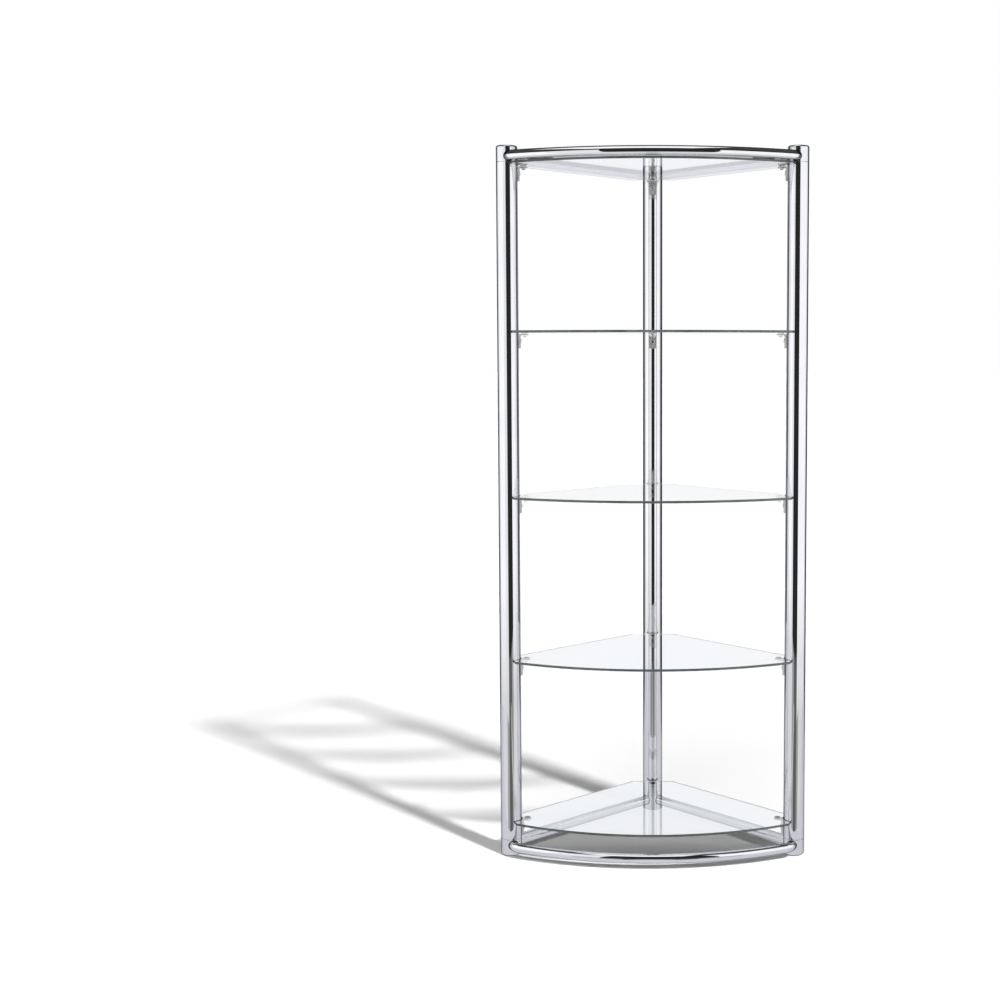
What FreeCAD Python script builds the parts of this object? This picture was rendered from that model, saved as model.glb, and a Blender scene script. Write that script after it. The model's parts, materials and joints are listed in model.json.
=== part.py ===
import FreeCAD, Part
import math
import os

# Corner display shelf: three chromed posts, bowed front rails, wall-side rails and glass shelves.
# Millimetres, +Z up. The bowed front faces -Y and the corner of the room lies behind the rear post, at +Y.
# The origin is on the floor, under the middle of the outline.

# Frame
overall_height = 1180.0
wall_spacing = 337.0            # between post axes, along either wall
post_diameter = 35.0
post_wall = 1.2
rail_diameter = 16.0
rail_wall = 1.2
rail_bow_reach = 81.0           # middle of the bowed rail's axis, in front of the front posts' axes
rail_bend_radius = 20.0
rail_stub = 2.8                 # straight run of the bowed rail past its end plate
rail_entry_angle = 17.0         # bowed rail's entry, from straight ahead towards the middle

# Corner castings
socket_clearance = 0.7
socket_lip = 2.0                # least depth of a rail socket, at its sides
socket_web = 0.6                # metal between a rail socket and the tube seam
end_cover = 8.9                 # metal between a rail socket and the casting's end face
seam_bevel = 0.5                # on both edges of the seam between a tube and a casting
casting_edge_radius = 2.5
casting_floor = 3.0             # metal under the cavity
casting_wall = 3.5              # metal between the cavity and a rail socket
spigot_past_screw = 7.0         # spigot beyond the bracket screw that pins it in the tube
spigot_clearance = 0.1
spigot_chamfer = 1.0

# Floor glides
glide_diameter = 24.0
glide_thickness = 3.0
glide_reveal = 1.0
glide_clearance = 0.15
glide_edge = 0.5

# Glass shelves
shelf_count = 5
glass_thickness = 4.0
glass_front_reach = 86.0        # middle of the front edge, in front of the front posts' axes
glass_tip_angle = 22.0          # end of each front tip, from straight ahead towards the middle
glass_tip_width = 11.0
notch_clearance = 1.0
wall_edge_offset = 10.5         # glass beyond the lines between post axes
rear_flat_gap = 3.5             # rear flat of the glass to the rear post
glass_corner_radius = 2.0
glass_arris = 0.4
top_shelf_gap = 1.0             # top shelf under the top rails

# Shelf brackets, pads and screws
bracket_width = 13.0
bracket_leg_height = 23.5
bracket_leg_thickness = 2.5
bracket_arm_length = 17.5
bracket_arm_thickness = 2.0
bracket_bend_radius = 1.5
bracket_seam_gap = 3.0          # lowest bracket above the casting seam
pad_diameter = 10.0
pad_height = 1.5
pad_inset = 6.5                 # pad centre from the end of the bracket arm
pad_stem_diameter = 3.5
pad_bulb_diameter = 6.0
pad_bulb_height = 3.5
pad_bulb_rounding = 2.0
screw_drop = 13.0               # screw axis under the glass
screw_diameter = 4.0
screw_hole_clearance = 0.2
screw_head_diameter = 8.0
screw_head_height = 2.6
screw_head_rounding = 1.4
screw_bite = 5.0                # screw beyond the inside of the post
screw_slot_length = 4.6
screw_slot_width = 1.1
screw_slot_depth = 1.2

# Rail bolts and end plates
bolt_diameter = 5.0
bolt_hole_clearance = 0.2
bolt_head_diameter = 8.5
bolt_head_height = 3.0
bolt_head_room = 0.3
bolt_seat_depth = 0.3           # flat cut into the cavity wall under a bolt head
bolt_reach = 2.0                # bolt beyond the end plate
bolt_hex = 4.0
bolt_hex_depth = 1.8
plate_thickness = 3.0

# Sizes that follow from the ones above
post_radius = post_diameter / 2
post_bore_radius = post_radius - post_wall
rail_radius = rail_diameter / 2
rail_bore_radius = rail_radius - rail_wall
half_width = wall_spacing / math.sqrt(2)
socket_radius = rail_radius + socket_clearance
socket_seat = math.sqrt(post_radius ** 2 - socket_radius ** 2) - socket_lip
rail_inset = end_cover + socket_radius
casting_height = rail_inset + socket_radius + socket_web
cavity_radius = socket_seat - casting_wall
bolt_seat = cavity_radius + bolt_seat_depth
glide_recess = glide_thickness - glide_reveal
foot_seam = glide_reveal + casting_height
top_seam = overall_height - casting_height
rail_levels = {"bottom": glide_reveal + rail_inset, "top": overall_height - rail_inset}
front_reach = max(rail_bow_reach + rail_radius, glass_front_reach)
post_line = (front_reach - half_width - post_radius) / 2

notch_radius = post_radius + notch_clearance
bracket_height = bracket_leg_height + pad_height
lowest_shelf = foot_seam + bracket_seam_gap + bracket_height
highest_shelf = rail_levels["top"] - rail_radius - top_shelf_gap - glass_thickness
shelf_pitch = (highest_shelf - lowest_shelf) / (shelf_count - 1)
shelf_undersides = [highest_shelf - i * shelf_pitch for i in range(shelf_count)]
end_shelves = {"bottom": lowest_shelf, "top": highest_shelf}
screw_past_seam = max(lowest_shelf - screw_drop - foot_seam, top_seam - highest_shelf + screw_drop)
spigot_length = screw_past_seam + spigot_past_screw

UP = FreeCAD.Vector(0, 0, 1)
ALONG = FreeCAD.Vector(1, 0, 0)
TOUCH = 1e-6

# Plan angles in degrees, from +X towards +Y
AHEAD = -90.0
HALF_TURN = 180.0
FULL_TURN = 360.0
HEX_SIDES = 6
WALL_ANGLE = 45.0
BRACKET_ANGLE = WALL_ANGLE / 2
ENTRY = AHEAD + rail_entry_angle
TIP = AHEAD + glass_tip_angle


class Corner:
    """One post: its place, and the plan angles at which rails and brackets leave it."""

    def __init__(self, name, x, y, rails, bracket):
        self.name = name
        self.place = FreeCAD.Vector(x, y, 0)
        self.rails = rails
        self.bracket = bracket


corners = [
    Corner("front_left", -half_width, post_line, [ENTRY, WALL_ANGLE], BRACKET_ANGLE),
    Corner("front_right", half_width, post_line, [HALF_TURN - ENTRY, HALF_TURN - WALL_ANGLE],
           HALF_TURN - BRACKET_ANGLE),
    Corner("rear", 0.0, post_line + half_width, [WALL_ANGLE - HALF_TURN, -WALL_ANGLE], AHEAD),
]
front_left, front_right, rear = corners


def plan_direction(angle):
    return FreeCAD.Vector(math.cos(math.radians(angle)), math.sin(math.radians(angle)), 0)


def rod(start, direction, length, radius):
    return Part.makeCylinder(radius, length, start, direction)


def radial_rod(corner, angle, z, inner, outer, radius):
    """A cylinder lying along a plan angle, between two distances from the post axis."""
    direction = plan_direction(angle)
    start = corner.place + direction * inner + UP * z
    return rod(start, direction, outer - inner, radius)


def placed(shape, corner, angle, z):
    """A piece drawn with its radial direction along +X, turned and moved to a corner."""
    piece = shape.copy()
    piece.rotate(FreeCAD.Vector(), UP, angle)
    piece.translate(corner.place + UP * z)
    return piece


def rims(shape, z):
    """The round edges of an upright piece at one height."""
    return [edge for edge in shape.Edges if edge.Closed and abs(edge.CenterOfMass.z - z) < TOUCH]


def screw_level(underside):
    return underside - screw_drop


def make_post(corner):
    base = corner.place + UP * foot_seam
    length = top_seam - foot_seam
    tube = rod(base, UP, length, post_radius)
    tube = tube.makeChamfer(seam_bevel, rims(tube, foot_seam) + rims(tube, top_seam))
    tube = tube.cut(rod(base, UP, length, post_bore_radius))
    for underside in shelf_undersides:
        tube = tube.cut(radial_rod(corner, corner.bracket, screw_level(underside), 0, post_diameter,
                                   screw_diameter / 2))
    return tube


def make_casting(corner, level):
    """A closed cup with a spigot for the tube, a socket for each rail and bolts reached from its cavity."""
    body = rod(FreeCAD.Vector(), UP, casting_height, post_radius)
    body = body.makeFillet(casting_edge_radius, rims(body, 0))
    body = body.makeChamfer(seam_bevel, rims(body, casting_height))
    total = casting_height + spigot_length
    floor = UP * (glide_recess + casting_floor)
    spigot = rod(floor, UP, total - floor.z, post_bore_radius - spigot_clearance)
    spigot = spigot.makeChamfer(spigot_chamfer, rims(spigot, total))
    body = body.fuse(spigot).removeSplitter().cut(rod(floor, UP, total, cavity_radius))
    if level == "bottom":
        body = body.cut(rod(FreeCAD.Vector(), UP, glide_recess, glide_diameter / 2 + glide_clearance))
        body.translate(corner.place + UP * glide_reveal)
    else:
        body = body.mirror(FreeCAD.Vector(), UP)
        body.translate(corner.place + UP * overall_height)
    z = rail_levels[level]
    head_room = bolt_head_diameter / 2 + bolt_head_room
    bolt_hole = bolt_diameter / 2 + bolt_hole_clearance
    for angle in corner.rails:
        body = body.cut(radial_rod(corner, angle, z, socket_seat, post_diameter, socket_radius))
        body = body.cut(radial_rod(corner, angle, z, 0, bolt_seat, head_room))
        body = body.cut(radial_rod(corner, angle, z, 0, post_diameter, bolt_hole))
    pin = screw_level(end_shelves[level])
    return body.cut(radial_rod(corner, corner.bracket, pin, 0, post_diameter, screw_diameter / 2))


def make_glide(corner):
    glide = rod(FreeCAD.Vector(), UP, glide_thickness, glide_diameter / 2)
    glide = glide.makeChamfer(glide_edge, rims(glide, 0))
    glide.translate(corner.place)
    return glide


def mirrored(point):
    return FreeCAD.Vector(-point.x, point.y, point.z)


def bow_path(z):
    """The bowed rail's axis: socket, short bend, one long bow, and the same mirrored."""
    out = plan_direction(ENTRY)
    aside = FreeCAD.Vector(-out.y, out.x, 0)
    seat = front_left.place + out * socket_seat
    bend_start = seat + out * (plate_thickness + rail_stub)
    bend_centre = bend_start + aside * rail_bend_radius
    front = FreeCAD.Vector(0, post_line - rail_bow_reach, 0)
    rise = bend_centre.y - front.y
    bow_radius = (bend_centre.x ** 2 + rise ** 2 - rail_bend_radius ** 2) / (2 * (rise - rail_bend_radius))
    bow_centre = front + FreeCAD.Vector(0, bow_radius, 0)
    outward = (bend_centre - bow_centre).normalize()
    bend_end = bend_centre + outward * rail_bend_radius
    middle = (bend_start + bend_end) * 0.5 - bend_centre
    bend_middle = bend_centre + middle.normalize() * rail_bend_radius
    edges = [
        Part.makeLine(seat, bend_start),
        Part.Arc(bend_start, bend_middle, bend_end).toShape(),
        Part.Arc(bend_end, front, mirrored(bend_end)).toShape(),
        Part.Arc(mirrored(bend_end), mirrored(bend_middle), mirrored(bend_start)).toShape(),
        Part.makeLine(mirrored(bend_start), mirrored(seat)),
    ]
    path = Part.Wire(edges)
    path.translate(UP * z)
    return path, seat + UP * z, out


def swept(path, start, direction, radius):
    ring = Part.Wire([Part.makeCircle(radius, start, direction)])
    return path.makePipeShell([ring], True, True)


def make_front_rail(level):
    path, start, direction = bow_path(rail_levels[level])
    outer = swept(path, start, direction, rail_radius)
    return outer.cut(swept(path, start, direction, rail_bore_radius))


def make_side_rail(corner, level):
    direction = (rear.place - corner.place).normalize()
    start = corner.place + direction * socket_seat + UP * rail_levels[level]
    length = wall_spacing - 2 * socket_seat
    return rod(start, direction, length, rail_radius).cut(rod(start, direction, length, rail_bore_radius))


def make_end_plate(corner, angle, level):
    z = rail_levels[level]
    plate = radial_rod(corner, angle, z, socket_seat, socket_seat + plate_thickness, rail_bore_radius)
    return plate.cut(radial_rod(corner, angle, z, 0, post_diameter, bolt_diameter / 2))


def make_rail_bolt(corner, angle, level):
    """A bolt in a casting's cavity, through its wall and into the rail's end plate."""
    z = rail_levels[level]
    head_top = bolt_seat - bolt_head_height
    head = radial_rod(corner, angle, z, head_top, bolt_seat, bolt_head_diameter / 2)
    tip = socket_seat + plate_thickness + bolt_reach
    bolt = head.fuse(radial_rod(corner, angle, z, bolt_seat, tip, bolt_diameter / 2))
    points = []
    for side in range(HEX_SIDES + 1):
        point = plan_direction(side * FULL_TURN / HEX_SIDES) * (bolt_hex / math.sqrt(3))
        points.append(FreeCAD.Vector(head_top, point.x, point.y))
    hexagon = Part.Face(Part.makePolygon(points)).extrude(ALONG * bolt_hex_depth)
    return bolt.cut(placed(hexagon, corner, angle, z))


def glass_outline():
    """The left half of a shelf's outline, from the middle of the front to the middle of the rear flat."""
    post = front_left.place
    tip = plan_direction(TIP)
    tip_front = post + tip * (notch_radius + glass_tip_width)
    tip_back = post + tip * notch_radius
    front = FreeCAD.Vector(0, post_line - glass_front_reach, 0)
    rise = tip_front.y - front.y
    front_radius = (tip_front.x ** 2 + rise ** 2) / (2 * rise)
    front_centre = front + FreeCAD.Vector(0, front_radius, 0)
    halfway = (front + tip_front) * 0.5 - front_centre
    front_middle = front_centre + halfway.normalize() * front_radius
    heel_angle = WALL_ANGLE + math.degrees(math.asin(wall_edge_offset / notch_radius))
    heel = post + plan_direction(heel_angle) * notch_radius
    notch_middle = post + plan_direction((heel_angle + TIP) / 2) * notch_radius
    flat_y = rear.place.y - post_radius - rear_flat_gap
    flat_end = FreeCAD.Vector(heel.x + (flat_y - heel.y), flat_y, 0)
    return [
        Part.Arc(front, front_middle, tip_front).toShape(),
        Part.makeLine(tip_front, tip_back),
        Part.Arc(tip_back, notch_middle, heel).toShape(),
        Part.makeLine(heel, flat_end),
        Part.makeLine(flat_end, FreeCAD.Vector(0, flat_y, 0)),
    ]


def make_glass(underside):
    left = glass_outline()
    right = [edge.mirror(FreeCAD.Vector(), ALONG) for edge in reversed(left)]
    glass = Part.Face(Part.Wire(left + right)).extrude(UP * glass_thickness).removeSplitter()
    glass = glass.makeFillet(glass_corner_radius, [edge for edge in glass.Edges if is_upright(edge)])
    glass = glass.makeChamfer(glass_arris, [edge for edge in glass.Edges if not is_upright(edge)])
    glass.translate(UP * underside)
    return glass


def is_upright(edge):
    return edge.BoundBox.ZLength > TOUCH


def make_bracket():
    """An L with a hollowed back against the post and a round-ended arm, drawn under z = 0 and along +X."""
    face = post_radius + bracket_leg_thickness
    reach = post_radius + bracket_arm_length
    half = bracket_width / 2
    arm_top = -pad_height
    leg = Part.makeBox(face, bracket_width, bracket_leg_height,
                       FreeCAD.Vector(0, -half, arm_top - bracket_leg_height))
    arm_base = FreeCAD.Vector(0, -half, arm_top - bracket_arm_thickness)
    arm = Part.makeBox(reach - half, bracket_width, bracket_arm_thickness, arm_base)
    arm_end = rod(FreeCAD.Vector(reach - half, 0, arm_base.z), UP, bracket_arm_thickness, half)
    bracket = leg.fuse([arm, arm_end]).removeSplitter()
    inside = FreeCAD.Vector(face, 0, arm_base.z)
    bend = [edge for edge in bracket.Edges if (edge.CenterOfMass - inside).Length < TOUCH]
    bracket = bracket.makeFillet(bracket_bend_radius, bend)
    bracket = bracket.cut(rod(UP * -bracket_height, UP, bracket_height, post_radius))
    hole = screw_diameter / 2 + screw_hole_clearance
    bracket = bracket.cut(rod(UP * -screw_drop, ALONG, reach, hole))
    stem = FreeCAD.Vector(reach - pad_inset, 0, -bracket_height)
    return bracket.cut(rod(stem, UP, bracket_height, pad_stem_diameter / 2))


def make_pad():
    centre = FreeCAD.Vector(post_radius + bracket_arm_length - pad_inset, 0, -pad_height)
    disc = rod(centre, UP, pad_height, pad_diameter / 2)
    stem = rod(centre, -UP, bracket_arm_thickness, pad_stem_diameter / 2)
    bulb_end = centre - UP * (bracket_arm_thickness + pad_bulb_height)
    bulb = rod(bulb_end, UP, pad_bulb_height, pad_bulb_diameter / 2)
    bulb = bulb.makeFillet(pad_bulb_rounding, rims(bulb, bulb_end.z))
    return disc.fuse([stem, bulb])


def make_bracket_screw():
    face = FreeCAD.Vector(post_radius + bracket_leg_thickness, 0, -screw_drop)
    head = rod(face, ALONG, screw_head_height, screw_head_diameter / 2)
    crown = [edge for edge in head.Edges if edge.Closed and edge.CenterOfMass.x > face.x + TOUCH]
    head = head.makeFillet(screw_head_rounding, crown)
    bottom = face.x + screw_head_height - screw_slot_depth
    for length, width in ((screw_slot_length, screw_slot_width), (screw_slot_width, screw_slot_length)):
        slot = Part.makeBox(screw_head_height, length, width,
                            FreeCAD.Vector(bottom, -length / 2, face.z - width / 2))
        head = head.cut(slot)
    shank = bracket_leg_thickness + post_wall + screw_bite
    return head.fuse(rod(face, -ALONG, shank, screw_diameter / 2))


nodes = {}
for corner in corners:
    nodes[corner.name + "_post"] = make_post(corner)
    nodes[corner.name + "_glide"] = make_glide(corner)
    for level in rail_levels:
        nodes[f"{level}_{corner.name}_casting"] = make_casting(corner, level)

for level in rail_levels:
    nodes[level + "_front_rail"] = make_front_rail(level)
    nodes[level + "_left_rail"] = make_side_rail(front_left, level)
    nodes[level + "_right_rail"] = make_side_rail(front_right, level)

rail_ends = [(corner, angle, level) for corner in corners for angle in corner.rails for level in rail_levels]
nodes["rail_end_plates"] = Part.makeCompound([make_end_plate(*end) for end in rail_ends])
nodes["rail_bolts"] = Part.makeCompound([make_rail_bolt(*end) for end in rail_ends])

bracket = make_bracket()
pad = make_pad()
screw = make_bracket_screw()
screws = []
for number, underside in enumerate(shelf_undersides, start=1):
    nodes[f"glass_shelf_{number}"] = make_glass(underside)
    pads = []
    for corner in corners:
        nodes[f"{corner.name}_bracket_{number}"] = placed(bracket, corner, corner.bracket, underside)
        pads.append(placed(pad, corner, corner.bracket, underside))
        screws.append(placed(screw, corner, corner.bracket, underside))
    nodes[f"shelf_pads_{number}"] = Part.makeCompound(pads)
nodes["bracket_screws"] = Part.makeCompound(screws)

os.makedirs("parts", exist_ok=True)
for name, shape in nodes.items():
    shape.exportStep(f"parts/{name}.step")
print(len(nodes), "nodes, shelf undersides", [round(z, 1) for z in shelf_undersides])
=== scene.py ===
"""Corner display shelf: chrome tubes, clear glass shelves, a white floor and the photograph's camera."""
import json
import math
import bpy
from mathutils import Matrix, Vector


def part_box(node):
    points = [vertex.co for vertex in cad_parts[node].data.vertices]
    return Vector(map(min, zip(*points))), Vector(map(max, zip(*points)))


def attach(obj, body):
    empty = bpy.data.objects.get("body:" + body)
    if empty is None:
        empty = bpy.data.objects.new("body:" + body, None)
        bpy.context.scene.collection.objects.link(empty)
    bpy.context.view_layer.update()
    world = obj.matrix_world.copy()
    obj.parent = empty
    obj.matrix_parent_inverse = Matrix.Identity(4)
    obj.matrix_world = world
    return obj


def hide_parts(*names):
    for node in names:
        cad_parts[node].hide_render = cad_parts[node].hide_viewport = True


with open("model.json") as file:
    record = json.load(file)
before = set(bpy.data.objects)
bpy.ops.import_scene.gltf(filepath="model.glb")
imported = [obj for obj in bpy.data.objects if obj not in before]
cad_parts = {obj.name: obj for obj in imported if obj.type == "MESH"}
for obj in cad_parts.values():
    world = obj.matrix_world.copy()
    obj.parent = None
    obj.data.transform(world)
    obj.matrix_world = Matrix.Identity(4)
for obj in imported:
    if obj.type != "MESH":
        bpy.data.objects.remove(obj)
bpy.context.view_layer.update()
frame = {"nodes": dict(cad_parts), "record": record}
nodes = frame["nodes"]
slot_of = {part["node"]: part["material_slot"] for part in frame["record"]["subparts"]}
bodies = frame["record"]["behaviour"]["bodies"]
body_of = {node: body for body, members in bodies.items() for node in members}

X, Y, Z = range(3)


def span(node, axis):
    """The middle of a node along an axis, and half its reach."""
    low, high = (corner[axis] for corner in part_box(node))
    return (low + high) / 2, (high - low) / 2


# Measures of the part, in metres
BOTTOM_LEVEL, RAIL_RADIUS = span("bottom_front_rail", Z)
TOP_LEVEL = span("top_front_rail", Z)[0]
RAIL_LEVELS = (BOTTOM_LEVEL, TOP_LEVEL)
POST_RADIUS = span("rear_post", X)[1]
GLASS_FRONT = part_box("glass_shelf_1")[0][Y]
GLASS_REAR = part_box("glass_shelf_1")[1][Y]
SHELF_COUNT = sum(slot == "clear_glass" for slot in slot_of.values())

# Where a finish gives way to another, and where painted shade fills the rail sockets: depths in metres, and
# parts of a face's unit normal
SOCKET_PLAY = 0.00077
SOCKET_RADIUS = RAIL_RADIUS + SOCKET_PLAY
SKIN_DEPTH = 0.0007
SKIN_RADIUS = POST_RADIUS - SKIN_DEPTH
SKIN_NORMAL = 0.5
FLAT_NORMAL = 0.9
REAR_BAND = 0.001
SHADE_DEPTH = 0.10

# Noise of the finishes: its usual range, then waves per metre and detail of each layer
NOISE_LOW = 0.3
NOISE_HIGH = 0.7
METAL_CLOUD = (18.0, 3.0)
METAL_POLISH = (45.0, 4.0)
MOULD_CLOUD = (120.0, 3.0)
MOULD_SKIN = (300.0, 2.0)
GLASS_CLOUD = (6.0, 2.0)
GLASS_POLISH = (14.0, 3.0)
EDGE_CLOUD = (40.0, 3.0)
EDGE_POLISH = (160.0, 2.0)
EDGE_GRAIN = (900.0, 2.0)
GRAIN_DETAIL = 3.0

# Tints and shares of the metal and glass shaders
METAL_RIM = (0.08, 0.08, 0.09, 1.0)
GLASS_IOR = 1.5
GLASS_TINTS = ((0.955, 0.982, 0.978), (0.965, 0.988, 0.985))
GLASS_ROUGH = (0.0, 0.008)
EDGE_TINTS = ((0.07, 0.093, 0.088), (0.105, 0.135, 0.127))
EDGE_ROUGH = (0.10, 0.22)
EDGE_CLEARNESS = 0.35
EDGE_DEPTH = 0.00002
EDGE_STRENGTH = 0.2

# Camera, in metres and pixels of a 1000 by 1000 picture
CAMERA_PLACE = (0.0, -2.5208, 0.8448)
CAMERA_PITCH = math.radians(4.267)
FOCAL_PIXELS = 1474.5
CENTRE_COLUMN = 652.6
CENTRE_ROW = 462.0
PICTURE = 1000.0
SENSOR = 36.0


def new_material(name):
    """A node material and its principled shader."""
    material = bpy.data.materials.new(name)
    material.use_nodes = True
    return material, material.node_tree, material.node_tree.nodes["Principled BSDF"]


def show(tree, shader):
    """Puts a shader on the material's surface."""
    tree.links.new(shader, tree.nodes["Material Output"].inputs["Surface"])


def blend(tree, share, first, second):
    """Two shaders, with a share of the second."""
    node = tree.nodes.new("ShaderNodeMixShader")
    tree.links.new(share, node.inputs["Fac"])
    tree.links.new(first, node.inputs[1])
    tree.links.new(second, node.inputs[2])
    return node.outputs["Shader"]


def noise(tree, scale, detail):
    """Noise fixed to the object."""
    place = tree.nodes.new("ShaderNodeTexCoord")
    texture = tree.nodes.new("ShaderNodeTexNoise")
    texture.inputs["Scale"].default_value = scale
    texture.inputs["Detail"].default_value = detail
    tree.links.new(place.outputs["Object"], texture.inputs["Vector"])
    return texture.outputs["Fac"]


def ranged(tree, source, start, end, first, last):
    """A value mapped from one range to another."""
    node = tree.nodes.new("ShaderNodeMapRange")
    limits = {"From Min": start, "From Max": end, "To Min": first, "To Max": last}
    for socket, value in limits.items():
        node.inputs[socket].default_value = value
    tree.links.new(source, node.inputs["Value"])
    return node.outputs["Result"]


def along(tree, axis, start, end, first, last):
    """A value that runs from first to last between two places on an axis of the object."""
    place = tree.nodes.new("ShaderNodeTexCoord")
    split = tree.nodes.new("ShaderNodeSeparateXYZ")
    tree.links.new(place.outputs["Object"], split.inputs["Vector"])
    return ranged(tree, split.outputs[axis], start, end, first, last)


def colours(tree, source, first, second):
    """Noise mapped to colours between two tints."""
    node = tree.nodes.new("ShaderNodeValToRGB")
    stops = zip(node.color_ramp.elements, (NOISE_LOW, NOISE_HIGH), (first, second))
    for element, position, tint in stops:
        element.position = position
        element.color = (*tint, 1.0)
    tree.links.new(source, node.inputs["Fac"])
    return node.outputs["Color"]


def dress(tree, shader, tints, rough, cloud, polish):
    """Cloudy colour and uneven polish."""
    tree.links.new(colours(tree, noise(tree, *cloud), *tints), shader.inputs["Base Color"])
    uneven = ranged(tree, noise(tree, *polish), NOISE_LOW, NOISE_HIGH, *rough)
    tree.links.new(uneven, shader.inputs["Roughness"])


def bump(tree, shader, source, depth, strength):
    """Fine relief from noise."""
    node = tree.nodes.new("ShaderNodeBump")
    node.inputs["Strength"].default_value = strength
    node.inputs["Distance"].default_value = depth
    tree.links.new(source, node.inputs["Height"])
    tree.links.new(node.outputs["Normal"], shader.inputs["Normal"])


def metal(name, tints, rough, grain, depth, strength):
    """Plated metal with cloudy polish, a fine relief and a darker rim."""
    material, tree, shader = new_material(name)
    shader.inputs["Metallic"].default_value = 1.0
    shader.inputs["Specular Tint"].default_value = METAL_RIM
    dress(tree, shader, tints, rough, METAL_CLOUD, METAL_POLISH)
    bump(tree, shader, noise(tree, grain, GRAIN_DETAIL), depth, strength)
    return material


def dull(name, tints, rough, grain, depth, strength, clearness=0.0):
    """Plastic, rubber or ground glass with a fine skin."""
    material, tree, shader = new_material(name)
    shader.inputs["Transmission Weight"].default_value = clearness
    dress(tree, shader, tints, rough, MOULD_CLOUD, MOULD_SKIN)
    bump(tree, shader, noise(tree, grain, GRAIN_DETAIL), depth, strength)
    return material


def clear_glass(name, front_shade, shade):
    """Float glass, clear through its faces, that lets less lamp light through along its front."""
    material, tree, shader = new_material(name)
    shader.inputs["IOR"].default_value = GLASS_IOR
    shader.inputs["Transmission Weight"].default_value = 1.0
    dress(tree, shader, GLASS_TINTS, GLASS_ROUGH, GLASS_CLOUD, GLASS_POLISH)
    through = tree.nodes.new("ShaderNodeBsdfTransparent")
    fade = along(tree, "Y", GLASS_FRONT, GLASS_FRONT + SHADE_DEPTH, front_shade, shade)
    tree.links.new(fade, through.inputs["Color"])
    path = tree.nodes.new("ShaderNodeLightPath")
    show(tree, blend(tree, path.outputs["Is Shadow Ray"], shader.outputs["BSDF"], through.outputs["BSDF"]))
    return material


def glass_edge(name):
    """The polished edge, dark green from the long way through the sheet."""
    material, tree, shader = new_material(name)
    shader.inputs["IOR"].default_value = GLASS_IOR
    shader.inputs["Transmission Weight"].default_value = EDGE_CLEARNESS
    dress(tree, shader, EDGE_TINTS, EDGE_ROUGH, EDGE_CLOUD, EDGE_POLISH)
    bump(tree, shader, noise(tree, *EDGE_GRAIN), EDGE_DEPTH, EDGE_STRENGTH)
    return material


materials = {
    "tube_chrome": metal("tube_chrome", ((0.63, 0.635, 0.66), (0.67, 0.672, 0.69)),
                         rough=(0.03, 0.055), grain=70.0, depth=0.00002, strength=0.15),
    "casting_chrome": metal("casting_chrome", ((0.62, 0.625, 0.65), (0.66, 0.662, 0.68)),
                            rough=(0.10, 0.16), grain=160.0, depth=0.00003, strength=0.25),
    "bracket_chrome": metal("bracket_chrome", ((0.66, 0.655, 0.64), (0.72, 0.71, 0.69)),
                            rough=(0.42, 0.52), grain=240.0, depth=0.00003, strength=0.25),
    "bright_screw": metal("bright_screw", ((0.58, 0.585, 0.60), (0.66, 0.66, 0.67)),
                          rough=(0.14, 0.24), grain=500.0, depth=0.00003, strength=0.3),
    "zinc_steel": metal("zinc_steel", ((0.45, 0.46, 0.50), (0.60, 0.60, 0.60)),
                        rough=(0.28, 0.42), grain=300.0, depth=0.00005, strength=0.3),
    "pad_rubber": dull("pad_rubber", ((0.88, 0.90, 0.90), (0.94, 0.95, 0.95)),
                       rough=(0.08, 0.16), grain=700.0, depth=0.00003, strength=0.2, clearness=0.95),
    "glide_plastic": dull("glide_plastic", ((0.03, 0.03, 0.032), (0.055, 0.055, 0.058)),
                          rough=(0.45, 0.62), grain=900.0, depth=0.00006, strength=0.4),
}
# Painted shade: near-black metal for the shadowed gap inside the castings' rail sockets
socket_shade_metal = metal("casting_socket_shade", ((0.05, 0.05, 0.055), (0.09, 0.09, 0.095)),
                   rough=(0.5, 0.65), grain=400.0, depth=0.00006, strength=0.4)
upper_glass = clear_glass("upper_glass", front_shade=0.40, shade=0.98)
bottom_glass = clear_glass("bottom_glass", front_shade=0.0, shade=0.50)
edge_glass = glass_edge("glass_edge")
ground_glass = dull("ground_glass", ((0.86, 0.90, 0.89), (0.92, 0.95, 0.94)),
                    rough=(0.50, 0.65), grain=900.0, depth=0.00003, strength=0.3)


def finishes(node, choices, choose):
    """A node's own shape, with one of several finishes on each face."""
    mesh = nodes[node].data.copy()
    mesh.name = f"{node}_dressed"
    mesh.materials.clear()
    for choice in choices:
        mesh.materials.append(choice)
    for face in mesh.polygons:
        face.material_index = choices.index(choose(face))
    piece = bpy.data.objects.new(mesh.name, mesh)
    bpy.context.scene.collection.objects.link(piece)
    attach(piece, body_of[node])
    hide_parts(node)


def glass_sheet(number):
    """A shelf's sheet with a darker edge band, ground pale on the flat at the rear."""
    clear = bottom_glass if number == SHELF_COUNT else upper_glass

    def finish(face):
        if abs(face.normal.z) > FLAT_NORMAL:
            return clear
        return ground_glass if face.center.y > GLASS_REAR - REAR_BAND else edge_glass

    finishes(f"glass_shelf_{number}", (clear, edge_glass, ground_glass), finish)


def casting(node):
    """A casting, plated outside, with painted shade inside its rail sockets: a near-black metal stands for
    the shade in the gap around each rail.
    """
    low, high = (Vector(corner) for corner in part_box(node))
    middle = (low + high) / 2
    plated = materials["casting_chrome"]

    def finish(face):
        out = Vector((face.center.x - middle.x, face.center.y - middle.y, 0.0))
        skin = out.length > SKIN_RADIUS and face.normal.dot(out.normalized()) > SKIN_NORMAL
        level = min(abs(face.center.z - height) for height in RAIL_LEVELS)
        # faces inside a rail socket, away from the plated outer skin, get the painted shade
        return socket_shade_metal if level < SOCKET_RADIUS and not skin else plated

    finishes(node, (plated, socket_shade_metal), finish)


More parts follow.
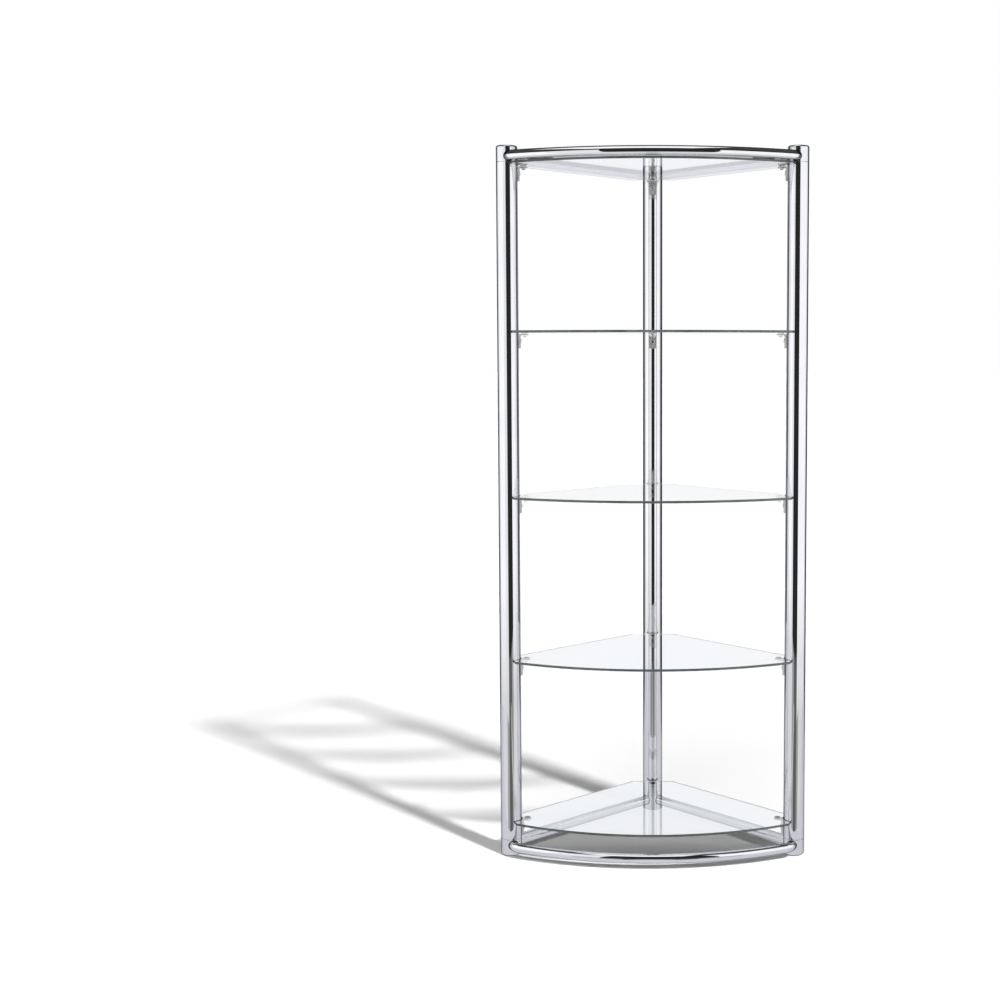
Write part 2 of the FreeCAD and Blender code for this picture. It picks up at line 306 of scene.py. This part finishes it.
for node, thing in nodes.items():
    if slot_of[node] == "casting_chrome":
        casting(node)
    elif slot_of[node] in materials:
        thing.data.materials.clear()
        thing.data.materials.append(materials[slot_of[node]])
for number in range(1, SHELF_COUNT + 1):
    glass_sheet(number)

# Floor, background and lamps
WHITE = (1.0, 1.0, 1.0, 1.0)
FLOOR_HALF = 60.0
FLOOR_DROP = -0.0002
FLOOR_COLOUR = (0.9, 0.9, 0.9, 1.0)
FLOOR_LIFT = 0.03
EVEN_COLOUR = (0.87, 0.87, 0.93, 1.0)
EVEN_SHARE = 0.92
NO_MATT_BOUNCE = 0.5
AMBIENT = 0.12
KEY_STRENGTH = 3.4
KEY_SOFTNESS = math.radians(4.2)
KEY_ELEVATION = math.radians(45.0)
KEY_AZIMUTH = math.radians(41.5)
FILL_STRENGTH = 1.3
FILL_SOFTNESS = math.radians(44.0)
FILL_ELEVATION = math.radians(44.0)
FILL_AZIMUTH = math.radians(-8.0)

# Studio around the object, in metres: a dark front, bright side panels and a bright softbox overhead
FRONT_WALL = -1.48
SIDE_WALL = 2.2
SIDE_BACK = 0.3
WALL_FOOT = 0.05
UPPER_FOOT = 1.5
ROOM_TOP = 2.45
BACK_WALL = 2.2
SOFTBOX_BACK = -0.05
SOFTBOX_LEFT = -0.85
SOFTBOX_RIGHT = 0.50
PANEL_LINE = -0.97
PANEL_TOP = 1.40
LEFT_PANEL_IN = -0.39
LEFT_PANEL_OUT = -0.92
RIGHT_PANEL_IN = 0.51
RIGHT_PANEL_OUT = 0.90
WING_OUT = 1.3
WING_FRONT = -0.3
WING_BACK = 0.2
BACK_CARD_LINE = 0.55
BACK_CARD_TOP = 2.2
BACK_CARD_IN = 0.3
LEFT_BACK_CARD_OUT = -1.15
RIGHT_BACK_CARD_OUT = 1.35
FAR_WALL = -3.0
FAR_FOOT = -1.2
FAR_DARK_LEFT = -0.64
FAR_DARK_RIGHT = 1.0
FAR_LEFT = -1.9
FAR_RIGHT = 2.2
NEAR_FLOOR = -0.23
PATCH_HALF = 0.05
PATCH_FRONT = -1.15
FADE_HEIGHT = 0.3

# Light levels of the studio's cards, some with another at the floor
FRONT_LEVEL = 0.03
UPPER_LEVEL = 0.05
CEILING_LEVEL = 0.08
SOFTBOX_LEVEL = 1.45
LEFT_PANEL_LEVEL = 1.2
LEFT_PANEL_FOOT = 1.0
LEFT_WING_LEVEL = 1.47
RIGHT_WING_LEVEL = 1.42
WING_FOOT = 1.05
BACK_CARD_LEVEL = 0.06
FAR_DARK_LEVEL = 0.16
FAR_SIDE_LEVEL = 0.5
PATCH_LEVEL = 0.75


def quad(name, corners, material):
    """A flat four-cornered sheet of the stage."""
    mesh = bpy.data.meshes.new(name)
    mesh.from_pydata([Vector(corner) for corner in corners], [], [(0, 1, 2, 3)])
    mesh.materials.append(material)
    sheet = bpy.data.objects.new(name, mesh)
    bpy.context.scene.collection.objects.link(sheet)
    return sheet


def level_corners(left, right, front, back, height):
    """Corners of a level sheet between four sides."""
    return ((left, front, height), (right, front, height), (right, back, height), (left, back, height))


def combine(tree, operation, first, second):
    """Two values through one math node."""
    node = tree.nodes.new("ShaderNodeMath")
    node.operation = operation
    for source, socket in zip((first, second), node.inputs):
        if isinstance(source, float):
            socket.default_value = source
        else:
            tree.links.new(source, socket)
    return node.outputs["Value"]


def seen_rays(tree):
    """1 for rays that show the background, straight, mirrored or through glass, after no matt surface."""
    path = tree.nodes.new("ShaderNodeLightPath")
    seen = path.outputs["Is Camera Ray"]
    for output in ("Is Glossy Ray", "Is Transmission Ray"):
        seen = combine(tree, "MAXIMUM", seen, path.outputs[output])
    direct = combine(tree, "LESS_THAN", path.outputs["Diffuse Depth"], NO_MATT_BOUNCE)
    return combine(tree, "MULTIPLY", seen, direct)


def floor_material():
    """Matt white with its shadows, a little lifted where seen and evened out in mirrors and behind glass."""
    material, tree, shader = new_material("stage_floor")
    tree.nodes.remove(shader)
    matt = tree.nodes.new("ShaderNodeBsdfDiffuse")
    matt.inputs["Color"].default_value = FLOOR_COLOUR
    glow = tree.nodes.new("ShaderNodeEmission")
    tree.links.new(combine(tree, "MULTIPLY", seen_rays(tree), FLOOR_LIFT), glow.inputs["Strength"])
    both = tree.nodes.new("ShaderNodeAddShader")
    tree.links.new(matt.outputs["BSDF"], both.inputs[0])
    tree.links.new(glow.outputs["Emission"], both.inputs[1])
    even = tree.nodes.new("ShaderNodeEmission")
    even.inputs["Color"].default_value = EVEN_COLOUR
    path = tree.nodes.new("ShaderNodeLightPath")
    indirect = combine(tree, "SUBTRACT", seen_rays(tree), path.outputs["Is Camera Ray"])
    share = combine(tree, "MULTIPLY", indirect, EVEN_SHARE)
    show(tree, blend(tree, share, both.outputs["Shader"], even.outputs["Emission"]))
    return material


def floor(name, front, back, material):
    """One strip of the floor."""
    return quad(name, level_corners(-FLOOR_HALF, FLOOR_HALF, front, back, FLOOR_DROP), material)


def card(name, corners, level, foot):
    """A studio card that only mirrors see, at another level where it meets the floor."""
    material, tree, shader = new_material(name)
    tree.nodes.remove(shader)
    glow = tree.nodes.new("ShaderNodeEmission")
    tree.links.new(along(tree, "Z", 0.0, FADE_HEIGHT, foot, level), glow.inputs["Strength"])
    show(tree, glow.outputs["Emission"])
    sheet = quad(name, corners, material)
    sheet.visible_camera = False
    sheet.visible_diffuse = False
    sheet.visible_transmission = False
    sheet.visible_volume_scatter = False
    sheet.visible_shadow = False
    return sheet


def wall(name, points, low, high, level, foot=None):
    """Cards standing on a line of plan points."""
    foot = level if foot is None else foot
    for number, (start, end) in enumerate(zip(points, points[1:]), start=1):
        card(f"{name}_{number}", ((*start, low), (*end, low), (*end, high), (*start, high)), level, foot)


def lid(name, left, right, front, back, level, height=ROOM_TOP):
    """A level card, at the top of the studio unless its height is given."""
    card(name, level_corners(left, right, front, back, height), level, level)


def world_light():
    """White where it is seen, softer where it only lights."""
    world = bpy.data.worlds.new("studio")
    bpy.context.scene.world = world
    world.use_nodes = True
    tree = world.node_tree
    background = tree.nodes["Background"]
    background.inputs["Color"].default_value = WHITE
    strength = ranged(tree, seen_rays(tree), 0.0, 1.0, AMBIENT, 1.0)
    tree.links.new(strength, background.inputs["Strength"])


def sun(name, strength, softness, elevation, azimuth):
    """A lamp at a bearing from straight ahead towards the right, not seen in mirrors or through glass."""
    lamp = bpy.data.lights.new(name, "SUN")
    lamp.energy = strength
    lamp.angle = softness
    thing = bpy.data.objects.new(name, lamp)
    bpy.context.scene.collection.objects.link(thing)
    thing.visible_glossy = False
    thing.visible_transmission = False
    flat = math.cos(elevation)
    towards = Vector((flat * math.sin(azimuth), -flat * math.cos(azimuth), math.sin(elevation)))
    thing.rotation_mode = "QUATERNION"
    thing.rotation_quaternion = towards.to_track_quat("Z", "Y")


def photograph_camera():
    """The photograph's viewpoint and framing."""
    data = bpy.data.cameras.new("camera")
    data.sensor_width = SENSOR
    data.lens = FOCAL_PIXELS * SENSOR / PICTURE
    data.shift_x = (PICTURE / 2 - CENTRE_COLUMN) / PICTURE
    data.shift_y = (CENTRE_ROW - PICTURE / 2) / PICTURE
    camera = bpy.data.objects.new("camera", data)
    bpy.context.scene.collection.objects.link(camera)
    camera.location = CAMERA_PLACE
    camera.rotation_euler = (math.pi / 2 - CAMERA_PITCH, 0.0, 0.0)
    bpy.context.scene.camera = camera


floor_finish = floor_material()
floor("near_floor", NEAR_FLOOR, FLOOR_HALF, floor_finish)
floor("front_floor", -FLOOR_HALF, NEAR_FLOOR, floor_finish).visible_glossy = False
wall("dark_wall", ((-SIDE_WALL, SIDE_BACK), (-SIDE_WALL, FRONT_WALL), (SIDE_WALL, FRONT_WALL),
                   (SIDE_WALL, SIDE_BACK)), WALL_FOOT, ROOM_TOP, FRONT_LEVEL)
for name, side in (("left_upper", -SIDE_WALL), ("right_upper", SIDE_WALL)):
    wall(name, ((side, SIDE_BACK), (side, BACK_WALL)), UPPER_FOOT, ROOM_TOP, UPPER_LEVEL)
wall("left_panel", ((LEFT_PANEL_IN, PANEL_LINE), (LEFT_PANEL_OUT, PANEL_LINE)),
     0.0, PANEL_TOP, LEFT_PANEL_LEVEL, LEFT_PANEL_FOOT)
wall("left_wing", ((LEFT_PANEL_OUT, PANEL_LINE), (-WING_OUT, WING_FRONT), (-WING_OUT, WING_BACK)),
     0.0, PANEL_TOP, LEFT_WING_LEVEL, WING_FOOT)
wall("right_wing", ((RIGHT_PANEL_IN, PANEL_LINE), (RIGHT_PANEL_OUT, PANEL_LINE), (WING_OUT, WING_FRONT),
                    (WING_OUT, WING_BACK)), 0.0, PANEL_TOP, RIGHT_WING_LEVEL, WING_FOOT)
for name, left, right in (("left_back", LEFT_BACK_CARD_OUT, -BACK_CARD_IN),
                          ("right_back", BACK_CARD_IN, RIGHT_BACK_CARD_OUT)):
    wall(name, ((left, BACK_CARD_LINE), (right, BACK_CARD_LINE)), 0.0, BACK_CARD_TOP, BACK_CARD_LEVEL)
for name, left, right, level in (("far_dark", FAR_DARK_LEFT, FAR_DARK_RIGHT, FAR_DARK_LEVEL),
                                 ("far_left", FAR_LEFT, FAR_DARK_LEFT, FAR_SIDE_LEVEL),
                                 ("far_right", FAR_DARK_RIGHT, FAR_RIGHT, FAR_SIDE_LEVEL)):
    wall(name, ((left, FAR_WALL), (right, FAR_WALL)), FAR_FOOT, WALL_FOOT, level)
lid("front_patch", -PATCH_HALF, PATCH_HALF, PATCH_FRONT, NEAR_FLOOR, PATCH_LEVEL, height=0.0)
lid("softbox", SOFTBOX_LEFT, SOFTBOX_RIGHT, FRONT_WALL, SOFTBOX_BACK, SOFTBOX_LEVEL)
lid("left_ceiling", -SIDE_WALL, SOFTBOX_LEFT, FRONT_WALL, SOFTBOX_BACK, CEILING_LEVEL)
lid("right_ceiling", SOFTBOX_RIGHT, SIDE_WALL, FRONT_WALL, SOFTBOX_BACK, CEILING_LEVEL)
lid("ceiling", -SIDE_WALL, SIDE_WALL, SOFTBOX_BACK, BACK_WALL, CEILING_LEVEL)
world_light()
sun("key", KEY_STRENGTH, KEY_SOFTNESS, KEY_ELEVATION, KEY_AZIMUTH)
sun("fill", FILL_STRENGTH, FILL_SOFTNESS, FILL_ELEVATION, FILL_AZIMUTH)
photograph_camera()
bpy.context.scene.view_settings.view_transform = "Standard"
